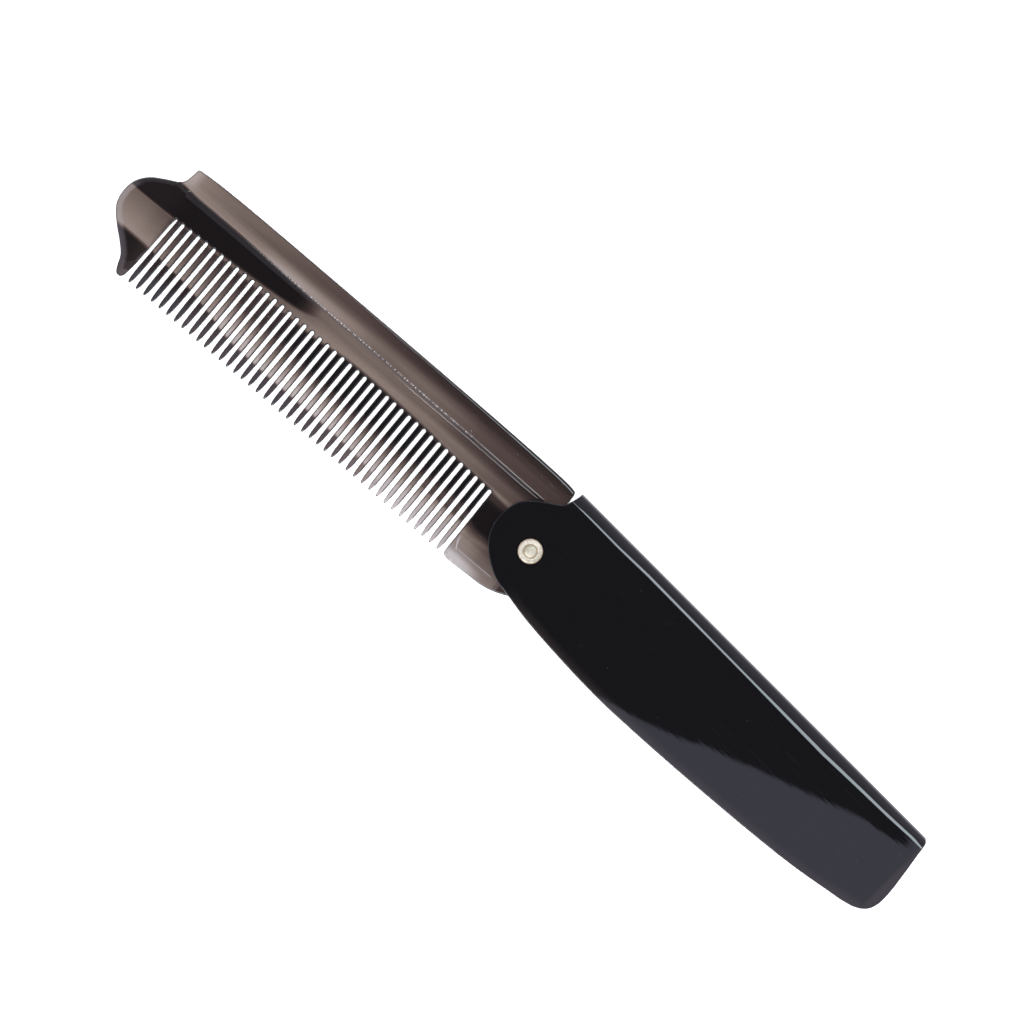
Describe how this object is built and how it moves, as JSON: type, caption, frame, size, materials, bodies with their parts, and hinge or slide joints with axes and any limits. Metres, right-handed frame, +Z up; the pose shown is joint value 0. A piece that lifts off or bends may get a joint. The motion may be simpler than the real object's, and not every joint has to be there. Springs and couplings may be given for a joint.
{
  "type": "folding comb",
  "caption": "Folding pocket comb, open: a toothed acetate comb turns on a rivet and closes teeth first into the slot of its handle.",
  "frame": {"origin": "middle of the open comb's bounding box, on the surface that the handle's back face lies on", "axes": "+X along the handle's straight spine, from the rivet to the handle's far end; +Y towards that spine, so the teeth point towards -Y; +Z up, out of the handle's front face"},
  "size_m": [0.1974, 0.0332, 0.0063],
  "materials": {
    "black_acetate": "polished, with fine lengthwise rubbing marks",
    "smoky_acetate": "polished, translucent grey-brown with darker lengthwise streaks",
    "pale_nickel": "polished pale nickel"
  },
  "bodies": {
    "handle": {"handle": "black_acetate", "rivet": "pale_nickel"},
    "comb": {"comb": "smoky_acetate"}
  },
  "joints": [
    {"name": "fold", "type": "hinge", "parent": "handle", "child": "comb", "pos_m": [0.00461, 0.00182, 0.0031], "axis": [0, 0, 1], "range_deg": [0, 175.2]}
  ]
}
